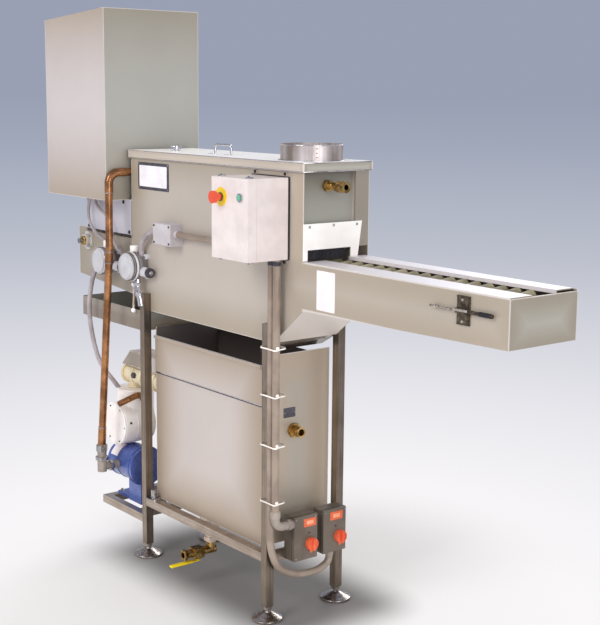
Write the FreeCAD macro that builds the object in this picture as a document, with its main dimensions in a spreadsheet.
import FreeCAD, Part
import Sketcher
import math
import os
import re

# Egg washing machine, in millimetres.
# +Z is up, -Y is the side with the controls, and +X is the end where the eggs are loaded.
# The origin is on the floor, under the middle of the machine's bounding box.

doc = FreeCAD.newDocument("egg_washing_machine")
sheet = doc.addObject("Spreadsheet::Sheet", "sizes")

sizes = {
    # sheet metal
    "sheet": 3,
    "fit_gap": 0.3,
    # frame of square tube
    "tube": 30,
    "tube_wall": 2,
    "post_x": 169,
    "post_gap_x": 760,
    "post_y": -77,
    "post_gap_y": 300,
    "post_foot_z": 47,
    "post_top_z": 1010,
    "rail_z": 202,
    "platform_z": 130,
    "platform_x": -906,
    "platform_bar_x": -672,
    "plug": 20,
    "cap_rise": 4,
    # levelling feet
    "foot_r": 52,
    "foot_rim": 9,
    "foot_cone_z": 28,
    "foot_neck_r": 15,
    "stem_r": 8,
    "nut_r": 15,
    "nut_height": 10,
    # water tank
    "tank_x0": -562,
    "tank_x1": 108,
    "tank_y0": -51,
    "tank_y1": 232,
    "tank_z0": 232,
    "tank_z1": 860,
    "tank_rise": 30,
    "seam_z": 724,
    "seam_step": 5,
    "rim_out": 12,
    "rim_deep": 10,
    # washing cabinet
    "hood_x0": -704,
    "hood_x1": 326,
    "hood_y0": -62,
    "hood_y1": 208,
    "hood_z0": 948,
    "hood_left_x": -591,
    "hood_right_x": 175,
    "hood_top_z": 1535,
    "recess": 15,
    "flange_wide": 58,
    "slot_y0": -47,
    "slot_y1": 130,
    "slot_z0": 1232,
    "slot_z1": 1266,
    "flap_top_z": 1348,
    "flap_thick": 4,
    "flap_y1": 176,
    "flap_foot_y1": 159,
    "chute_x": 100,
    "chute_z": 905,
    # lid
    "lid_over": 7,
    "lid_skirt": 30,
    "collar_x": 197,
    "collar_y": 73,
    "collar_r": 102,
    "collar_bore_r": 98,
    "collar_high": 52,
    "hinge_r": 6,
    "hinge_long": 60,
    "hinge_inset": 150,
    "hinge_leaf": 2,
    "hinge_leaf_high": 22,
    "hinge_past": 8,
    "hinge_arm": 7,
    "hinge_arm_out": 5,
    "hinge_arm_drop": 16,
    "hinge_arm_gap": 1.5,
    # loading trough
    "trough_x1": 1190.5,
    "trough_z0": 1074,
    "trough_end_z0": 1090,
    "trough_z1": 1227,
    "strip_in_y": 26,
    "hat_y0": 121,
    "hat_y1": 187,
    "hat_z1": 1236,
    "hat_foot_z": 1225,
    # roller conveyor
    "pitch": 50.8,
    "roller_count": 89,
    "loop_r": 36,
    "shaft_z": 1170,
    "shaft_x0": -1031,
    "roller_r": 20,
    "waist_r": 13,
    "roller_y0": 9,
    "roller_long": 109,
    "axle_r": 4,
    "chain_thick": 6,
    "chain_high": 11,
    "axle_stub": 5,
    "shaft_r": 10,
    "shaft_out": 48,
    # unloading end
    "out_x0": -1113,
    "out_z0": 1032,
    "out_hood_z0": 998,
    "out_z1": 1223,
    "out_lip_z": 1120,
    "guard_x0": -1041,
    "guard_z0": 1208,
    # tower
    "tower_x0": -1190.5,
    "tower_x1": -734,
    "tower_y0": -153,
    "tower_y1": 259,
    "tower_z0": 1350,
    "tower_z1": 2050,
    "tower_fall": 30,
    # control enclosure
    "box_x0": 60,
    "box_x1": 255,
    "box_y0": -224,
    "box_z0": 1231,
    "box_z1": 1489,
    "box_wall": 2,
    "door_thick": 34,
    "door_gap": 0.5,
    "tab": 4,
    "tab_wide": 22,
    "tab_high": 30,
    # buttons
    "stop_x": 113,
    "stop_z": 1427,
    "stop_plate_r": 30,
    "stop_plate": 2,
    "stop_r": 20,
    "stop_neck_r": 11,
    "stop_out": 22,
    "stop_head": 12,
    "start_x": 216,
    "start_z": 1430,
    "start_r": 9,
    "start_ring_r": 14,
    "start_ring": 5,
    "start_out": 8,
    "button_sink": 4,
    "door_hinge_r": 4,
    "door_hinge_long": 40,
    "door_hinge_inset": 30,
    # conduits and their glands
    "conduit_r": 12.5,
    "conduit_y": -88,
    "conduit_x0": 198,
    "conduit_x1": 225,
    "gland_r": 13.2,
    "gland_long": 26,
    "elbow_z": 338,
    "elbow_r": 30,
    "loop_x": 211,
    "loop_start_z": 262,
    "loop_low_z": 144,
    "loop_end_y": 156,
    # thermostat boxes and knobs
    "stat_wide": 98,
    "stat_deep": 55,
    "stat_z0": 208,
    "stat_high": 152,
    "stat_y0": -18,
    "stat_y1": 107,
    "knob_in": 69,
    "knob_z": 260,
    "knob_r": 22,
    "knob_out": 16,
    "knob_edge": 3,
    "knob_tab": 8,
    "knob_tab_long": 9,
    # drain
    "drain_x": -250,
    "drain_y": -20,
    "drain_r": 36,
    "drain_neck_r": 20,
    "drain_long": 90,
    "valve_z": 112,
    "valve_r": 16,
    "valve_bore_r": 11,
    "valve_end_y": -140,
    "valve_body": 40,
    "valve_body_y": -100,
    "lever_y": -80,
    "lever_long": 112,
    "lever_wide": 16,
    "lever_thick": 4,
    "lever_stem_r": 6,
    "lever_stem": 14,
    # pump, canister and their fittings
    "pump_x0": -881,
    "pump_x1": -716,
    "pump_y": -10,
    "pump_axis_z": 310,
    "pump_r": 70,
    "pump_flange_r": 76,
    "pump_flange": 16,
    "pump_foot_x0": -885,
    "pump_foot_x1": -650,
    "pump_foot_y0": -35,
    "pump_foot_y1": 45,
    "pump_foot_high": 12,
    "pump_column_x": -790,
    "pump_column_half": 30,
    "canister_x": -831,
    "canister_y0": -75,
    "canister_z": 466,
    "canister_r": 84,
    "canister_long": 135,
    "canister_edge": 6,
    "canister_body_r": 73,
    "canister_top_z": 602,
    "head_x0": -872,
    "head_y": 20,
    "head_z": 655,
    "head_r": 38,
    "head_neck_r": 26,
    "cover_x0": -860,
    "cover_z1": 758,
    "cover_wide": 84,
    "stub_x": -790,
    "stub_z0": 530,
    "stub_knee_x": -745,
    "stub_knee_y": 0,
    "stub_z1": 596,
    "stub_mouth_x": -758,
    "stub_mouth_y": -100,
    "stub_mouth_z": 562,
    "stub_r": 12,
    # copper pipe
    "pipe_r": 14,
    "pipe_y": -150,
    "pipe_foot_x": -806,
    "pipe_foot_z": 400,
    "pipe_knee_x": -722,
    "pipe_knee_z": 1175,
    "pipe_top_x": -719,
    "pipe_top_z": 1455,
    "pipe_end_y": 10,
    "pipe_tee_y": -10,
    "pipe_bend_r": 42,
    "union_r": 18,
    # motors on the cabinet's front
    "motor_y0": -137,
    "motor_r": 50,
    "motor_long": 48,
    "motor_edge": 5,
    "motor_left_x": -832,
    "motor_right_x": -634,
    "motor_z": 1113,
    "gear_half": 38,
    # bearing, drip tray, adjuster
    "bearing_r": 36,
    "bearing_boss_r": 25,
    "bearing_flange": 10,
    "bearing_out": 24,
    "tray_x0": -1066,
    "tray_y0": -77,
    "tray_z0": 870,
    "tray_z1": 945,
    "adjust_x0": 1003,
    "adjust_x1": 1050,
    "adjust_z0": 1136,
    "adjust_z1": 1216,
    "adjust_thick": 5,
    "adjust_rod_x0": 907,
    "adjust_rod_x1": 1142,
    "adjust_rod_r": 3,
    "adjust_rod_out": 7,
    "adjust_grip_r": 5.5,
    "adjust_block": 14,
    "adjust_block_deep": 13,
    "adjust_block_inset": 5,
    # junction box
    "junction_x0": -472,
    "junction_x1": -357,
    "junction_deep": 50,
    "junction_z0": 1212,
    "junction_z1": 1290,
    "link_y": -87,
    "link_z": 1255,
    "link_r": 12,
    "lead_r": 6,
    "canister_lead_r": 9,
    "junction_lead_r": 10,
    "lead_sink": 12,
    "lead_y": -84,
    "lead_low_y": -113,
    # small fittings
    "handle_x0": -273,
    "handle_x1": -178,
    "handle_y": 20,
    "handle_high": 34,
    "handle_r": 4,
    "handle_bend_r": 12,
    "lid_knob_x": -555,
    "lid_knob_y": 40,
    "lid_knob_r": 20,
    "lid_knob_high": 18,
    "inlet_y": 40,
    "inlet_z": 1464,
    "inlet_bore_r": 9,
    "outlet_y": 75,
    "outlet_z": 621,
    "outlet_bore_r": 12,
}

for row, (alias, amount) in enumerate(sizes.items(), start=1):
    sheet.set(f"A{row}", alias)
    sheet.set(f"B{row}", str(amount))
    sheet.setAlias(f"B{row}", alias)
doc.recompute()

nodes = []


def size(alias):
    """The amount in the sheet's cell of that name."""
    return float(sheet.get(alias))


def named(text):
    """An expression in which each size's name points at its cell."""
    return re.sub(r"[a-z]\w*", lambda word: "sizes." + word[0] if word[0] in sizes else word[0], text)


def keep(thing, label):
    """Marks a finished sub-part, which is written to a file of its own."""
    thing.Label = label
    nodes.append(thing)
    return thing


def place(thing, x="0", y="0", z="0"):
    for letter, text in zip("xyz", (x, y, z)):
        thing.setExpression(f".Placement.Base.{letter}", named(text))
    return thing


def box(corner, extent):
    thing = doc.addObject("Part::Box", "box")
    for side, text in zip(("Length", "Width", "Height"), extent):
        thing.setExpression(side, named(text))
    return place(thing, *corner)


def between(low, high):
    """A box from one corner to the opposite one."""
    return box(low, [f"({b}) - ({a})" for a, b in zip(low, high)])


TURN = {
    "z": FreeCAD.Rotation(),
    "x": FreeCAD.Rotation(FreeCAD.Vector(0, 1, 0), 90),
    "y": FreeCAD.Rotation(FreeCAD.Vector(1, 0, 0), -90),
}


def rod(base, radius, length, along="z"):
    thing = doc.addObject("Part::Cylinder", "rod")
    thing.Placement = FreeCAD.Placement(FreeCAD.Vector(), TURN[along])
    thing.setExpression("Radius", named(radius))
    thing.setExpression("Height", named(length))
    return place(thing, *base)


def cut(base, tool):
    thing = doc.addObject("Part::Cut", "cut")
    thing.Base = base
    thing.Tool = tool
    return thing


def fuse(*things):
    thing = doc.addObject("Part::MultiFuse", "fuse")
    thing.Shapes = list(things)
    return thing


def group(*things):
    """Several solids that don't touch, as one sub-part."""
    thing = doc.addObject("Part::Compound", "group")
    thing.Links = list(things)
    return thing


def outline(body, plane, corners):
    """A closed sketch whose corners are held by expressions."""
    origin = [item for item in body.Origin.OriginFeatures if item.Role == plane][0]
    sketch = body.newObject("Sketcher::SketchObject", "outline")
    sketch.AttachmentSupport = [(origin, "")]
    sketch.MapMode = "FlatFace"
    amounts = [[amount_of(text) for text in corner] for corner in corners]
    points = [FreeCAD.Vector(a, b, 0) for a, b in amounts]
    for start, end in zip(points, points[1:] + points[:1]):
        sketch.addGeometry(Part.LineSegment(start, end))
    count = len(points)
    for index in range(count):
        sketch.addConstraint(Sketcher.Constraint("Coincident", index, 2, (index + 1) % count, 1))
    for index, corner in enumerate(corners):
        for kind, text, amount in zip(("DistanceX", "DistanceY"), corner, amounts[index]):
            number = sketch.addConstraint(Sketcher.Constraint(kind, -1, 1, index, 1, amount))
            sketch.setExpression(f"Constraints[{number}]", named(text))
    return sketch


def amount_of(text):
    """The number that an expression on the sheet's sizes gives."""
    return float(sheet.evalExpression(named(text)))


def plate(plane, corners, thickness, base=("0", "0", "0")):
    """A flat sheet cut to an outline. On the XZ plane its thickness runs towards -Y."""
    body = doc.addObject("PartDesign::Body", "plate")
    pad = body.newObject("PartDesign::Pad", "thickness")
    pad.Profile = outline(body, plane, corners)
    pad.setExpression("Length", named(thickness))
    return place(body, *base)


def turned(along, corners, base):
    """A piece turned about an axis: each corner is a place along the axis and a radius."""
    body = doc.addObject("PartDesign::Body", "turned")
    plane = "YZ_Plane" if along == "y" else "XZ_Plane"
    if along == "z":
        corners = [(b, a) for a, b in corners]
    sketch = outline(body, plane, corners)
    spin = body.newObject("PartDesign::Revolution", "spin")
    spin.Profile = sketch
    spin.ReferenceAxis = (sketch, ["V_Axis" if along == "z" else "H_Axis"])
    spin.Angle = 360
    return place(body, *base)


def square_tube(corner, run, along):
    """A square tube from a corner, with its wall left on the four long sides."""
    full = {"x": (run, "tube", "tube"), "y": ("tube", run, "tube"), "z": ("tube", "tube", run)}[along]
    hollow = [run if side == run else "tube - 2 * tube_wall" for side in full]
    inner = [a if side == run else f"{a} + tube_wall" for a, side in zip(corner, full)]
    return cut(box(corner, full), box(inner, hollow))


def post_corners():
    """The four posts' low corners in plan."""
    for x in ("post_x - tube / 2", "post_x - post_gap_x - tube / 2"):
        for y in ("post_y - tube / 2", "post_y + post_gap_y - tube / 2"):
            yield x, y


def frame():
    """Posts with their plugs, the rails between them and the open frame under the pump."""
    high = "post_top_z - post_foot_z"
    posts = []
    for x, y in post_corners():
        bottom = box((x, y, "post_foot_z"), ("tube", "tube", "plug"))
        top = box((x, y, "post_top_z"), ("tube", "tube", "cap_rise"))
        posts.append(fuse(square_tube((x, y, "post_foot_z"), high, "z"), bottom, top))
    keep(group(*posts), "frame_posts")
    left = "post_x - post_gap_x"
    rails = []
    for y in ("post_y - tube / 2", "post_y + post_gap_y - tube / 2"):
        rails.append(square_tube((f"{left} + tube / 2", y, "rail_z"), "post_gap_x - tube", "x"))
    for x in ("post_x - tube / 2", f"{left} - tube / 2"):
        rails.append(square_tube((x, "post_y + tube / 2", "rail_z"), "post_gap_y - tube", "y"))
    keep(group(*rails), "frame_rails")
    out = f"{left} - tube / 2 - platform_x"
    low_y = "post_y - tube / 2"
    high_y = "post_y + post_gap_y - tube / 2"
    arms = [box(("platform_x", y, "platform_z"), (out, "tube", "tube")) for y in (low_y, high_y)]
    bars = [box((x, low_y, "platform_z"), ("tube", "post_gap_y + tube", "tube"))
            for x in ("platform_x", "platform_bar_x")]
    keep(fuse(*arms, *bars), "pump_platform")


def feet():
    profile = [("0", "0"), ("0", "foot_r"), ("foot_rim", "foot_r"), ("foot_cone_z", "foot_neck_r"),
               ("foot_cone_z", "stem_r"), ("post_foot_z - nut_height", "stem_r"),
               ("post_foot_z - nut_height", "nut_r"), ("post_foot_z", "nut_r"), ("post_foot_z", "0")]
    places = [(f"{x} + tube / 2", f"{y} + tube / 2", "0") for x, y in post_corners()]
    keep(group(*[turned("z", profile, spot) for spot in places]), "levelling_feet")


def tank():
    """A shell of one bent sheet, open above, with its two ends as pieces of their own."""
    shell = [
        ("tank_y0", "tank_z0"), ("tank_y1", "tank_z0"),
        ("tank_y1", "tank_z1"), ("tank_y1 - sheet", "tank_z1"),
        ("tank_y1 - sheet", "tank_z0 + sheet"), ("tank_y0 + sheet", "tank_z0 + sheet"),
        ("tank_y0 + sheet", "seam_z"), ("tank_y0 - seam_step + sheet", "seam_z"),
        ("tank_y0 - seam_step + sheet", "tank_z1"), ("tank_y0 - rim_out", "tank_z1"),
        ("tank_y0 - rim_out", "tank_z1 - rim_deep"), ("tank_y0 - seam_step", "tank_z1 - rim_deep"),
        ("tank_y0 - seam_step", "seam_z - sheet"), ("tank_y0", "seam_z - sheet"),
    ]
    long = "tank_x1 - tank_x0 - 2 * sheet"
    keep(plate("YZ_Plane", shell, long, ("tank_x0 + sheet", "0", "0")), "tank_shell")
    ends = [between((x, "tank_y0", "tank_z0"), (f"{x} + sheet", "tank_y1", "tank_z1 + tank_rise"))
            for x in ("tank_x0", "tank_x1 - sheet")]
    keep(group(*ends), "tank_ends")


def long_panels():
    """The front and back sheets, each one piece from the cabinet to the trough's end."""
    corners = [
        ("hood_x0", "out_hood_z0"), ("hood_left_x", "hood_z0"), ("hood_right_x", "hood_z0"),
        ("hood_x1", "trough_z0"), ("trough_x1 - sheet", "trough_end_z0"),
        ("trough_x1 - sheet", "trough_z1"), ("hood_x1", "trough_z1"),
        ("hood_x1", "hood_top_z"), ("hood_x0", "hood_top_z"),
    ]
    front = plate("XZ_Plane", corners, "sheet", ("0", "hood_y0 + sheet", "0"))
    keep(front, "front_panel")
    keep(plate("XZ_Plane", corners, "sheet", ("0", "hood_y1", "0")), "back_panel")


def cabinet_ends():
    """The recessed end over the trough with its flange, and the plain end by the tower."""
    inner_y0 = "hood_y0 + sheet"
    inner_y1 = "hood_y1 - sheet"
    sheet_x = "hood_x1 - recess - sheet"
    face = between((sheet_x, inner_y0, "slot_z1"), ("hood_x1 - recess", inner_y1, "hood_top_z"))
    side = between(("hood_x1 - recess", "hood_y1 - flange_wide", "slot_z1"),
                   ("hood_x1", inner_y1, "hood_top_z"))
    keep(fuse(face, side), "cabinet_right_end")
    low = ("hood_x0", inner_y0, "slot_z1")
    keep(between(low, ("hood_x0 + sheet", inner_y1, "hood_top_z")), "cabinet_left_end")
    corners = [
        ("hood_y0", "flap_top_z"), ("flap_y1", "flap_top_z"), ("flap_foot_y1", "slot_z0"),
        ("slot_y1", "slot_z0"), ("slot_y1", "slot_z1"), ("slot_y0", "slot_z1"),
        ("slot_y0", "slot_z0"), ("hood_y0", "slot_z0"),
    ]
    keep(plate("YZ_Plane", corners, "flap_thick", ("hood_x1", "0", "0")), "entry_shield")


def floors():
    """Bent sheets that lead the water from both ends back to the tank."""
    inner = "hood_y1 - hood_y0 - 2 * sheet"
    base = ("0", "hood_y1 - sheet", "0")
    right = [("hood_right_x", "hood_z0"), ("hood_x1", "trough_z0"), ("trough_x1 - sheet", "trough_end_z0")]
    left = [("hood_left_x", "hood_z0"), ("hood_x0", "out_hood_z0"), ("out_x0", "out_z0")]
    bent = plate("XZ_Plane", right + [(x, f"{z} + sheet") for x, z in right[::-1]], inner, base)
    keep(bent, "trough_floor")
    bent = plate("XZ_Plane", left + [(x, f"{z} + sheet") for x, z in left[::-1]], inner, base)
    low = ("out_x0", "hood_y0 + sheet", "out_z0 + sheet / 2")
    keep(fuse(bent, between(low, ("out_x0 + sheet", "hood_y1 - sheet", "out_lip_z"))), "unloading_floor")
    lip = [
        ("hood_right_x", "hood_z0"), ("hood_right_x", "hood_z0 + sheet"),
        ("chute_x", "chute_z + sheet"), ("chute_x", "chute_z"),
    ]
    keep(plate("XZ_Plane", lip, inner, base), "return_chute")


def trough():
    low = ("trough_x1 - sheet", "hood_y0", "trough_end_z0")
    keep(between(low, ("trough_x1", "hood_y1", "trough_z1")), "trough_end")
    run = "trough_x1 - sheet - hood_x1 - flap_thick"
    base = ("hood_x1 + flap_thick", "0", "0")
    keep(between((base[0], "hood_y0", "trough_z1"), ("trough_x1 - sheet", "strip_in_y", "trough_z1 + sheet")),
         "front_cover_strip")
    hat = [
        ("hat_y0", "hat_foot_z"), ("hat_y0 + sheet", "hat_foot_z"), ("hat_y0 + sheet", "hat_z1 - sheet"),
        ("hat_y1", "hat_z1 - sheet"), ("hood_y1", "trough_z1"), ("hood_y1", "trough_z1 + sheet"),
        ("hat_y1", "hat_z1"), ("hat_y0", "hat_z1"),
    ]
    keep(plate("YZ_Plane", hat, run, base), "rear_cover_strip")


def loop_places():
    """The rollers' places round the loop, as x and z, one pitch apart."""
    pitch = size("pitch")
    radius = size("loop_r")
    count = int(size("roller_count"))
    arc = math.pi * radius
    straight = pitch * count / 2 - arc
    x0 = size("shaft_x0")
    z0 = size("shaft_z")
    for index in range(count):
        way = index * pitch
        if way < straight:
            yield x0 + way, z0 + radius
        elif way < straight + arc:
            turn = (way - straight) / radius
            yield x0 + straight + radius * math.sin(turn), z0 + radius * math.cos(turn)
        elif way < 2 * straight + arc:
            yield x0 + 2 * straight + arc - way, z0 - radius
        else:
            turn = (way - 2 * straight - arc) / radius
            yield x0 - radius * math.sin(turn), z0 - radius * math.cos(turn)


def conveyor():
    """One loop of waisted rollers between two chains, with a shaft at each end."""
    low = size("roller_y0")
    long = size("roller_long")
    end_r = size("roller_r")
    waist_r = size("waist_r")
    axle_r = size("axle_r")
    stub = size("axle_stub")
    profile = [(low - stub, 0), (low - stub, axle_r), (low, axle_r), (low, end_r),
               (low + long / 2, waist_r), (low + long, end_r), (low + long, axle_r),
               (low + long + stub, axle_r), (low + long + stub, 0)]
    wire = Part.makePolygon([FreeCAD.Vector(0, y, r) for y, r in profile + profile[:1]])
    spool = Part.Face(wire).revolve(FreeCAD.Vector(), FreeCAD.Vector(0, 1, 0), 360)
    rollers = doc.addObject("Part::Feature", "rollers")
    rollers.Shape = Part.makeCompound([
        spool.translated(FreeCAD.Vector(x, 0, z)) for x, z in loop_places()
    ])
    keep(rollers, "conveyor_rollers")

    straight = "(pitch * roller_count / 2 - pi * loop_r)"
    chains = []
    shafts = []
    for y in ("roller_y0 - axle_stub - chain_thick", "roller_y0 + roller_long + axle_stub"):
        rings = []
        for radius in ("(loop_r + chain_high / 2)", "(loop_r - chain_high / 2)"):
            ends = [rod((x, y, "shaft_z"), radius, "chain_thick", "y")
                    for x in ("shaft_x0", f"shaft_x0 + {straight}")]
            middle = box(("shaft_x0", y, f"shaft_z - {radius}"), (straight, "chain_thick", f"2 * {radius}"))
            rings.append(fuse(*ends, middle))
        chains.append(cut(*rings))
    keep(group(*chains), "conveyor_chains")
    for x, start, end in (("shaft_x0", "hood_y0 - shaft_out", "hood_y1 - sheet"),
                          (f"shaft_x0 + {straight}", "hood_y0 + sheet", "hood_y1 - sheet")):
        wheels = [rod((x, y, "shaft_z"), "loop_r - chain_high / 2 - fit_gap", "chain_thick", "y")
                  for y in ("roller_y0 - axle_stub - chain_thick", "roller_y0 + roller_long + axle_stub")]
        shafts.append(fuse(rod((x, start, "shaft_z"), "shaft_r", f"{end} - ({start})", "y"), *wheels))
    keep(group(*shafts), "conveyor_shafts")


def unloading_end():
    corners = [("out_x0", "out_z0"), ("hood_x0", "out_hood_z0"), ("hood_x0", "out_z1"), ("out_x0", "out_z1")]
    hole = rod(("shaft_x0", "hood_y0 - sheet", "shaft_z"), "shaft_r + fit_gap", "3 * sheet", "y")
    front = cut(plate("XZ_Plane", corners, "sheet", ("0", "hood_y0 + sheet", "0")), hole)
    back = plate("XZ_Plane", corners, "sheet", ("0", "hood_y1", "0"))
    keep(group(front, back), "unloading_side_panels")
    guards = [between(("guard_x0", y, "guard_z0"), ("hood_x0", f"{y} + sheet", "tower_z0"))
              for y in ("hood_y0 - sheet", "hood_y1")]
    keep(group(*guards), "tower_guard_plates")


def tower():
    """A tall sheet housing with a sloping top, open below towards the conveyor."""
    corners = [("tower_x0", "tower_z0"), ("tower_x1", "tower_z0"),
               ("tower_x1", "tower_z1"), ("tower_x0", "tower_z1 - tower_fall")]
    inside = [("tower_x0 + sheet", "tower_z0 + sheet"), ("tower_x1 - sheet", "tower_z0 + sheet"),
              ("tower_x1 - sheet", "tower_z1 - sheet"), ("tower_x0 + sheet", "tower_z1 - tower_fall - sheet")]
    outer = plate("XZ_Plane", corners, "tower_y1 - tower_y0", ("0", "tower_y1", "0"))
    inner = plate("XZ_Plane", inside, "tower_y1 - tower_y0 - 2 * sheet", ("0", "tower_y1 - sheet", "0"))
    mouth = between(("guard_x0 + sheet", "hood_y0 + sheet", "tower_z0 - sheet"),
                    ("tower_x1 - 2 * sheet", "hood_y1 - sheet", "tower_z0 + 2 * sheet"))
    keep(cut(outer, fuse(inner, mouth)), "tower_housing")


def lid():
    """A shallow tray upside down, with a round collar for the exhaust duct."""
    low = ("hood_x0 - lid_over", "hood_y0 - lid_over", "hood_top_z + sheet - lid_skirt")
    high = ("hood_x1 + lid_over", "hood_y1 + lid_over", "hood_top_z + sheet")
    inner_low = ("hood_x0 - lid_over + sheet", "hood_y0 - lid_over + sheet", "hood_top_z - lid_skirt")
    inner_high = ("hood_x1 + lid_over - sheet", "hood_y1 + lid_over - sheet", "hood_top_z")
    tray = cut(between(low, high), between(inner_low, inner_high))
    port = rod(("collar_x", "collar_y", "hood_top_z - sheet"), "collar_bore_r", "3 * sheet")
    keep(cut(tray, port), "cabinet_lid")
    base = ("collar_x", "collar_y", "hood_top_z + sheet")
    keep(cut(rod(base, "collar_r", "collar_high"), rod(base, "collar_bore_r", "collar_high")), "exhaust_collar")


def enclosure():
    """The control enclosure: an open box, its door, and four tabs that hold it off the cabinet."""
    back = "hood_y0 - tab"
    front = "box_y0 + door_thick + door_gap"
    shell = between(("box_x0", front, "box_z0"), ("box_x1", back, "box_z1"))
    hollow = between(("box_x0 + box_wall", f"{front} - box_wall", "box_z0 + box_wall"),
                     ("box_x1 - box_wall", f"{back} - box_wall", "box_z1 - box_wall"))
    extras = []
    for x in ("box_x0", "box_x1 - tab_wide"):
        for z in ("box_z0", "box_z1 - tab_high"):
            extras.append(box((x, back, z), ("tab_wide", "tab", "tab_high")))
    pin_x = "box_x0 - door_hinge_r - fit_gap"
    for z in ("box_z0 + door_hinge_inset", "box_z1 - door_hinge_inset - door_hinge_long"):
        extras.append(rod((pin_x, "box_y0 + door_thick", z), "door_hinge_r", "door_hinge_long"))
        extras.append(between((pin_x, front, z), ("box_x0 + box_wall", f"{front} + 8", f"{z} + door_hinge_long")))
    keep(fuse(cut(shell, hollow), *extras), "control_enclosure")
    door = between(("box_x0", "box_y0", "box_z0"), ("box_x1", "box_y0 + door_thick", "box_z1"))
    dish = between(("box_x0 + box_wall", "box_y0 + 2 * box_wall", "box_z0 + box_wall"),
                   ("box_x1 - box_wall", "box_y0 + door_thick + 1", "box_z1 - box_wall"))
    holes = [rod((x, "box_y0 - 1", z), f"{r} + fit_gap", "door_thick", "y")
             for x, z, r in (("stop_x", "stop_z", "stop_neck_r"), ("start_x", "start_z", "start_r"))]
    keep(cut(door, fuse(dish, *holes)), "control_door")


def buttons():
    plate_front = "box_y0 - stop_plate"
    disc = cut(rod(("stop_x", plate_front, "stop_z"), "stop_plate_r", "stop_plate", "y"),
               rod(("stop_x", plate_front, "stop_z"), "stop_neck_r + fit_gap", "stop_plate", "y"))
    keep(disc, "stop_plate")
    neck_end = "stop_head + stop_out + stop_plate + button_sink"
    profile = [("0", "0"), ("0", "stop_r"), ("stop_head", "stop_r"), ("stop_head", "stop_neck_r"),
               (neck_end, "stop_neck_r"), (neck_end, "0")]
    base = ("stop_x", "box_y0 - stop_plate - stop_out - stop_head", "stop_z")
    keep(turned("y", profile, base), "stop_button")
    bezel = cut(rod(("start_x", "box_y0 - start_ring", "start_z"), "start_ring_r", "start_ring", "y"),
                rod(("start_x", "box_y0 - start_ring", "start_z"), "start_r + fit_gap", "start_ring", "y"))
    keep(bezel, "start_bezel")
    long = "start_out + button_sink"
    keep(rod(("start_x", "box_y0 - start_out", "start_z"), "start_r", long, "y"), "start_button")


def routed(label, points, radius, bend=None):
    """A round tube along straight runs joined by tangent arcs.

    Without a bend radius each arc is as large as its two runs allow.
    """
    spots = [FreeCAD.Vector(*[amount_of(part) for part in point]) for point in points]
    edges = []
    start = spots[0]
    for before, corner, after in zip(spots, spots[1:], spots[2:]):
        arriving = (corner - before).normalize()
        leaving = (after - corner).normalize()
        half = arriving.getAngle(leaving) / 2
        shorter = min((corner - before).Length, (after - corner).Length)
        bend_r = bend or 0.45 * shorter / math.tan(half)
        reach = bend_r * math.tan(half)
        first = corner - arriving * reach
        last = corner + leaving * reach
        inward = (leaving - arriving).normalize()
        middle = corner + inward * (bend_r / math.cos(half) - bend_r)
        edges.append(Part.LineSegment(start, first).toShape())
        edges.append(Part.Arc(first, middle, last).toShape())
        start = last
        print(label, "bend", round(math.degrees(2 * half)), "degrees, radius", round(bend_r))
    edges.append(Part.LineSegment(start, spots[-1]).toShape())
    path = Part.Wire(edges)
    ring = Part.Wire(Part.makeCircle(radius, spots[0], (spots[1] - spots[0]).normalize()))
    tube = path.makePipeShell([ring], True, True)
    thing = doc.addObject("Part::Feature", "tube")
    thing.Shape = tube
    ideal = math.pi * radius ** 2 * path.Length
    if abs(tube.Volume / ideal - 1) > 0.01:
        raise RuntimeError(f"{label} has an uneven section")
    return thing


def motors():
    """Two fan-cooled motors on gearboxes on the front, and the unloading shaft's bearing."""
    cases = []
    gears = []
    for x in ("motor_left_x", "motor_right_x"):
        profile = [("0", "0"), ("0", "motor_r - motor_edge"), ("motor_edge", "motor_r"),
                   ("motor_long", "motor_r"), ("motor_long", "0")]
        cases.append(turned("y", profile, (x, "motor_y0", "motor_z")))
        low = (f"{x} - gear_half", "motor_y0 + motor_long", "motor_z - gear_half")
        gears.append(between(low, (f"{x} + gear_half", "hood_y0", "motor_z + gear_half")))
    keep(group(*cases), "gearmotors")
    keep(group(*gears), "gearboxes")
    bore = "shaft_r + fit_gap"
    profile = [("0", bore), ("0", "bearing_boss_r"), ("bearing_out - bearing_flange", "bearing_boss_r"),
               ("bearing_out - bearing_flange", "bearing_r"), ("bearing_out", "bearing_r"), ("bearing_out", bore)]
    keep(turned("y", profile, ("shaft_x0", "hood_y0 - bearing_out", "shaft_z")), "flange_bearing")


def drip_tray():
    right = "post_x - post_gap_x - tube / 2"
    back = "post_y + post_gap_y"
    outer = between(("tray_x0", "tray_y0", "tray_z0"), (right, back, "tray_z1"))
    inner = between(("tray_x0 + sheet", "tray_y0 + sheet", "tray_z0 + sheet"),
                    (f"{right} - sheet", f"{back} - sheet", "tray_z1 + sheet"))
    keep(cut(outer, inner), "drip_tray")


def thermostats():
    face = "post_x + tube / 2 + stat_deep"
    boxes = [box(("post_x + tube / 2", y, "stat_z0"), ("stat_deep", "stat_wide", "stat_high"))
             for y in ("stat_y0", "stat_y1")]
    keep(group(*boxes), "thermostat_boxes")
    for y, label in (("stat_y0", "front_knob"), ("stat_y1", "back_knob")):
        base = (f"{face} + fit_gap", f"{y} + knob_in", "knob_z")
        profile = [("0", "0"), ("0", "knob_r"), ("knob_out - knob_edge", "knob_r"),
                   ("knob_out", "knob_r - knob_edge"), ("knob_out", "0")]
        tab = box((base[0], f"{base[1]} - knob_tab / 2", "knob_z - knob_r - knob_tab_long"),
                  ("knob_tab / 2", "knob_tab", "2 * knob_tab_long"))
        keep(fuse(turned("x", profile, base), tab), label)


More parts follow.
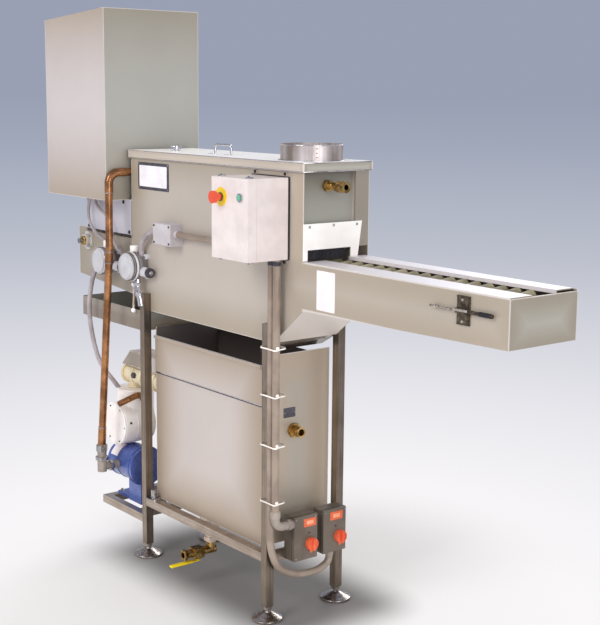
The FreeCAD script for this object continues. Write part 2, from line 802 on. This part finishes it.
def drain():
    """The outlet under the tank, a ball valve that points forward, and its lever."""
    profile = [("0", "0"), ("0", "drain_neck_r"), ("drain_long / 3", "drain_neck_r"),
               ("drain_long / 2", "drain_r"), ("drain_long", "drain_r"), ("drain_long", "0")]
    keep(turned("z", profile, ("drain_x", "drain_y", "tank_z0 - drain_long")), "drain_fitting")
    riser = rod(("drain_x", "drain_y", "valve_z"), "valve_r", "tank_z0 - drain_long - valve_z")
    run = rod(("drain_x", "valve_end_y", "valve_z"), "valve_r", "drain_y + valve_r - valve_end_y", "y")
    core = box(("drain_x - valve_body / 2", "valve_body_y", "valve_z - valve_body / 2 + 2"),
               ("valve_body", "valve_body", "valve_body - 4"))
    bore = rod(("drain_x", "valve_end_y", "valve_z"), "valve_bore_r", "drain_y - valve_end_y", "y")
    keep(cut(fuse(riser, run, core), bore), "drain_valve")
    top = "valve_z - valve_body / 2 + 2 - fit_gap"
    stem = rod(("drain_x", "lever_y", f"{top} - lever_stem"), "lever_stem_r", "lever_stem")
    arm = box(("drain_x - lever_wide / 2", "lever_y - lever_long", f"{top} - lever_stem"),
              ("lever_wide", "lever_long + lever_wide / 2", "lever_thick"))
    keep(fuse(stem, arm), "drain_lever")


def pump():
    """The water pump on its platform, with the canister over it and the pipe up to the cabinet."""
    floor = "platform_z + tube"
    body = rod(("pump_x0", "pump_y", "pump_axis_z"), "pump_r", "pump_x1 - pump_x0", "x")
    flange = rod(("pump_x1", "pump_y", "pump_axis_z"), "pump_flange_r", "pump_flange", "x")
    plinth = between(("pump_foot_x0", "pump_foot_y0", floor),
                     ("pump_foot_x1", "pump_foot_y1", f"{floor} + pump_foot_high"))
    column = between(("pump_column_x", "pump_y - pump_column_half", floor),
                     ("pump_x1 + pump_flange", "pump_y + pump_column_half", "pump_axis_z - pump_r / 2"))
    keep(fuse(body, flange, plinth, column), "pump")
    profile = [("0", "0"), ("0", "canister_r - canister_edge"), ("canister_edge", "canister_r"),
               ("canister_long", "canister_r"), ("canister_long", "0")]
    drum = turned("y", profile, ("canister_x", "canister_y0", "canister_z"))
    tower = rod(("canister_x", "head_y", "canister_z"), "canister_body_r", "canister_top_z - canister_z")
    keep(fuse(drum, tower), "white_canister")
    head = rod(("head_x0", "head_y", "head_z"), "head_r", "tank_x0 - head_x0", "x")
    neck = rod(("canister_x", "head_y", "canister_top_z"), "head_neck_r", "head_z - canister_top_z")
    keep(fuse(head, neck), "inlet_head")
    low_z = "head_z + head_r + sheet"
    sides = [("cover_x0", low_z), (f"cover_x0 + cover_z1 - ({low_z})", "cover_z1"), ("tank_x0", "cover_z1"),
             ("tank_x0", low_z)]
    keep(plate("XZ_Plane", sides, "cover_wide", ("0", "head_y + cover_wide / 2", "0")), "inlet_cover")
    foot = ("pipe_foot_x", "pipe_y", "pipe_foot_z")
    union_low = "pump_axis_z - union_r"
    upright = rod(("pipe_foot_x", "pipe_y", union_low), "union_r", f"pipe_foot_z - ({union_low})")
    branch = rod(("pipe_foot_x", "pipe_y", "pump_axis_z"), "union_r - sheet", "pump_y - pipe_y", "y")
    hollow = rod(("pump_x0", "pump_y", "pump_axis_z"), "pump_r", "pump_x1 - pump_x0", "x")
    keep(cut(fuse(upright, branch), hollow), "pump_union")
    points = [foot, ("pipe_knee_x", "pipe_y", "pipe_knee_z"), ("pipe_top_x", "pipe_y", "pipe_top_z"),
              ("pipe_top_x", "pipe_end_y", "pipe_top_z")]
    pipe = routed("copper_pipe", points, size("pipe_r"), size("pipe_bend_r"))
    branch = rod(("pipe_top_x", "pipe_tee_y", "pipe_top_z"), "pipe_r - 2", "hood_x0 - pipe_top_x", "x")
    clear = rod(("pipe_foot_x", "pipe_y", union_low), "union_r", f"pipe_foot_z - ({union_low})")
    keep(cut(fuse(pipe, branch), clear), "copper_pipe")
    points = [("stub_x", "head_y", "stub_z0"), ("stub_knee_x", "stub_knee_y", "stub_z1"),
              ("stub_mouth_x", "stub_mouth_y", "stub_mouth_z")]
    stub = routed("canister_pipe", points, size("stub_r"))
    tool = routed("canister_pipe bore", points[1:], size("stub_r") - 2)
    solid = fuse(rod(("canister_x", "head_y", "canister_z"), "canister_body_r", "canister_top_z - canister_z"),
                 turned("y", profile, ("canister_x", "canister_y0", "canister_z")))
    keep(cut(cut(stub, tool), solid), "canister_pipe")


def adjuster():
    """The chain adjuster on the trough: a plate, and a rod in its block."""
    front = "hood_y0 - adjust_thick"
    keep(between(("adjust_x0", front, "adjust_z0"), ("adjust_x1", "hood_y0", "adjust_z1")), "adjuster_plate")
    middle = "(adjust_z0 + adjust_z1) / 2"
    block = between(("adjust_x0 + adjust_block_inset", f"{front} - adjust_block_deep", f"{middle} - adjust_block / 2"),
                    ("adjust_x1 - adjust_block_inset", front, f"{middle} + adjust_block / 2"))
    rod_y = f"{front} - adjust_rod_out"
    bar = rod(("adjust_rod_x0", rod_y, middle), "adjust_rod_r", "adjust_rod_x1 - adjust_rod_x0", "x")
    grip = rod(("adjust_x1", rod_y, middle), "adjust_grip_r", "adjust_rod_x1 - adjust_x1", "x")
    keep(fuse(block, bar, grip), "adjuster_rod")


def wiring():
    """The junction box, the conduits and the glands that hold them."""
    deep = "hood_y0 - junction_deep"
    keep(between(("junction_x0", deep, "junction_z0"), ("junction_x1", "hood_y0", "junction_z1")), "junction_box")
    glands = [rod((x, "conduit_y", "box_z0 - gland_long"), "gland_r", "gland_long")
              for x in ("conduit_x0", "conduit_x1")]
    keep(group(*glands), "cable_glands")
    top = "box_z0 - gland_long"
    looped = [
        ("conduit_x0", "conduit_y", top), ("conduit_x0", "conduit_y", "loop_start_z"),
        ("loop_x - 7", "conduit_y + 24", "loop_low_z + 46"), ("loop_x", "-8", "loop_low_z + 13"),
        ("loop_x", "52", "loop_low_z"), ("loop_x", "112", "loop_low_z"),
        ("loop_x", "loop_end_y", "loop_low_z + 22"), ("loop_x", "loop_end_y", "stat_z0"),
    ]
    short = [("conduit_x1", "conduit_y", top), ("conduit_x1", "conduit_y", "elbow_z"),
             ("conduit_x1", "stat_y0", "elbow_z")]
    link = rod(("junction_x1", "link_y", "link_z"), "link_r", "box_x0 - junction_x1", "x")
    keep(group(routed("looped_conduit", looped, size("conduit_r")),
               routed("short_conduit", short, size("conduit_r"), size("elbow_r")), link), "conduits")


def leads():
    """Stiff cable leads, each held at both ends, between the housings at the unloading end.

    Each runs a little way into what holds it and is cut off flush there.
    """
    gear_top = "motor_z + gear_half"
    over = "tower_z0 + lead_sink"
    below = f"{gear_top} - lead_sink"
    tower = between(("tower_x0", "tower_y0", "tower_z0"), ("tower_x1", "tower_y1", "tower_z0 + 2 * lead_sink"))
    gears = [between((f"{x} - gear_half", "motor_y0 + motor_long", "motor_z - gear_half"),
                     (f"{x} + gear_half", "hood_y0", gear_top)) for x in ("motor_left_x", "motor_right_x")]
    cases = [rod((x, "motor_y0", "motor_z"), "motor_r", "motor_long", "y")
             for x in ("motor_left_x", "motor_right_x")]
    junction = between(("junction_x0", "hood_y0 - junction_deep", "junction_z0"),
                       ("junction_x1", "hood_y0", "junction_z1"))
    canister = rod(("canister_x", "head_y", "canister_z"), "canister_body_r", "canister_top_z - canister_z")
    housings = fuse(tower, *gears, *cases, junction, canister)
    routes = {
        "tower lead": ("lead_r", [
            ("-970", "lead_y", over), ("-994", "lead_y - 2", "1300"), ("-985", "lead_y - 4", "1250"),
            ("-935", "lead_y - 2", "1205"), ("-870", "lead_y + 2", "1182"), ("-848", "-78", below)]),
        "cross lead": ("lead_r", [
            ("-951", "lead_y + 4", over), ("-946", "lead_y + 4", "1322"), ("-900", "lead_y", "1300"),
            ("-845", "lead_y - 2", "1280"), ("-812", "lead_y - 4", "1240"), ("-803", "lead_y - 6", "1200"),
            ("-760", "lead_y - 11", "1165"), ("-705", "lead_y - 16", "1142"), ("-664", "-104", "1132")]),
        "canister lead": ("canister_lead_r", [
            ("-870", "lead_low_y", "1093"), ("-915", "lead_low_y", "1050"), ("-940", "lead_low_y", "985"),
            ("-952", "lead_low_y", "930"), ("-948", "lead_low_y", "861"), ("-921", "lead_low_y + 1", "775"),
            ("-900", "-104", "715"), ("-880", "-85", "668"), ("-869", "-57", "629"), ("-864", "-32", "592")]),
        "junction lead": ("junction_lead_r", [
            ("junction_x0 + lead_sink", "link_y", "link_z"), ("-515", "link_y", "1252"),
            ("-560", "-86", "1235"), ("-597", "-83", "1205"), ("-612", "-79", "1180"), ("-614", "-77", below)]),
    }
    solids = [cut(routed(label, points, size(radius)), housings) for label, (radius, points) in routes.items()]
    keep(group(*solids), "motor_leads")


def lid_fittings():
    """The wire handle and the knob on the lid, and the hinges behind it."""
    top = "hood_top_z + sheet"
    high = f"{top} + handle_high"
    bail = [("handle_x0", "handle_y", top), ("handle_x0", "handle_y", high),
            ("handle_x1", "handle_y", high), ("handle_x1", "handle_y", top)]
    profile = [("0", "0"), ("0", "lid_knob_r / 2"), ("lid_knob_high / 3", "lid_knob_r / 2"),
               ("lid_knob_high / 3", "lid_knob_r"), ("lid_knob_high", "lid_knob_r"), ("lid_knob_high", "0")]
    knob = turned("z", profile, ("lid_knob_x", "lid_knob_y", top))
    keep(group(routed("lid_handle", bail, size("handle_r"), size("handle_bend_r")), knob), "lid_handles")
    skirt_y = "hood_y1 + lid_over"
    pin_y = f"{skirt_y} + hinge_r + fit_gap"
    pin_z = f"{top} - lid_skirt"
    knuckles = []
    pins = []
    arm_out_y = f"{pin_y} + hinge_arm_out"
    arm_low_z = f"{pin_z} - hinge_arm_drop"
    for x in ("hood_x0 + hinge_inset", "hood_x1 - hinge_inset - hinge_long"):
        leaf = between((x, skirt_y, pin_z),
                       (f"{x} + hinge_long", f"{skirt_y} + hinge_leaf", f"{pin_z} + hinge_leaf_high"))
        barrel = rod((x, pin_y, pin_z), "hinge_r", "hinge_long", "x")
        bore = rod((x, pin_y, pin_z), "hinge_r / 2 + fit_gap / 4", "hinge_long", "x")
        knuckles.append(cut(fuse(leaf, barrel), bore))
        parts = [rod((f"{x} - hinge_past", pin_y, pin_z), "hinge_r / 2", "hinge_long + 2 * hinge_past", "x")]
        for end in (f"{x} - hinge_past", f"{x} + hinge_long + hinge_past - hinge_arm"):
            far = f"{end} + hinge_arm"
            parts.append(between((end, "hood_y1", arm_low_z), (far, arm_out_y, f"{pin_z} - hinge_r / 2")))
            parts.append(between((end, f"{skirt_y} + hinge_arm_gap", arm_low_z),
                                 (far, arm_out_y, f"{pin_z} + hinge_r / 2 + sheet / 6")))
        pins.append(fuse(*parts))
    keep(group(*knuckles), "lid_knuckles")
    keep(group(*pins), "lid_hinge_pins")


def water_fittings():
    """Brass fittings: the cabinet's water inlet and the tank's outlet."""
    bore = "inlet_bore_r"
    profile = [("0", bore), ("0", "inlet_bore_r + 7"), ("22", "inlet_bore_r + 7"), ("22", "inlet_bore_r + 3"),
               ("60", "inlet_bore_r + 3"), ("60", "inlet_bore_r + 9"), ("98", "inlet_bore_r + 9"), ("98", bore)]
    keep(turned("x", profile, ("hood_x1 - recess", "inlet_y", "inlet_z")), "inlet_fitting")
    bore = "outlet_bore_r"
    profile = [("0", bore), ("0", "outlet_bore_r + 12"), ("16", "outlet_bore_r + 12"),
               ("16", "outlet_bore_r + 6"), ("46", "outlet_bore_r + 6"), ("46", bore)]
    keep(turned("x", profile, ("tank_x1", "outlet_y", "outlet_z")), "tank_fitting")


def finish():
    """Builds the document, checks every object and writes one file for each sub-part."""
    doc.recompute()
    for thing in doc.Objects:
        if {"Invalid", "Error"} & set(thing.State):
            raise RuntimeError(f"{thing.Label} failed: {thing.State}")
    for thing in nodes:
        if thing.Shape.isNull() or not thing.Shape.isValid() or not thing.Shape.Solids:
            raise RuntimeError(f"{thing.Label} has no valid solid")
    os.makedirs("parts", exist_ok=True)
    for thing in nodes:
        thing.Shape.exportStep(f"parts/{thing.Label}.step")
        print(thing.Label, len(thing.Shape.Solids), round(thing.Shape.Volume))


frame()
feet()
tank()
long_panels()
cabinet_ends()
floors()
trough()
conveyor()
unloading_end()
tower()
lid()
enclosure()
buttons()
motors()
drip_tray()
thermostats()
drain()
pump()
adjuster()
wiring()
leads()
lid_fittings()
water_fittings()
finish()
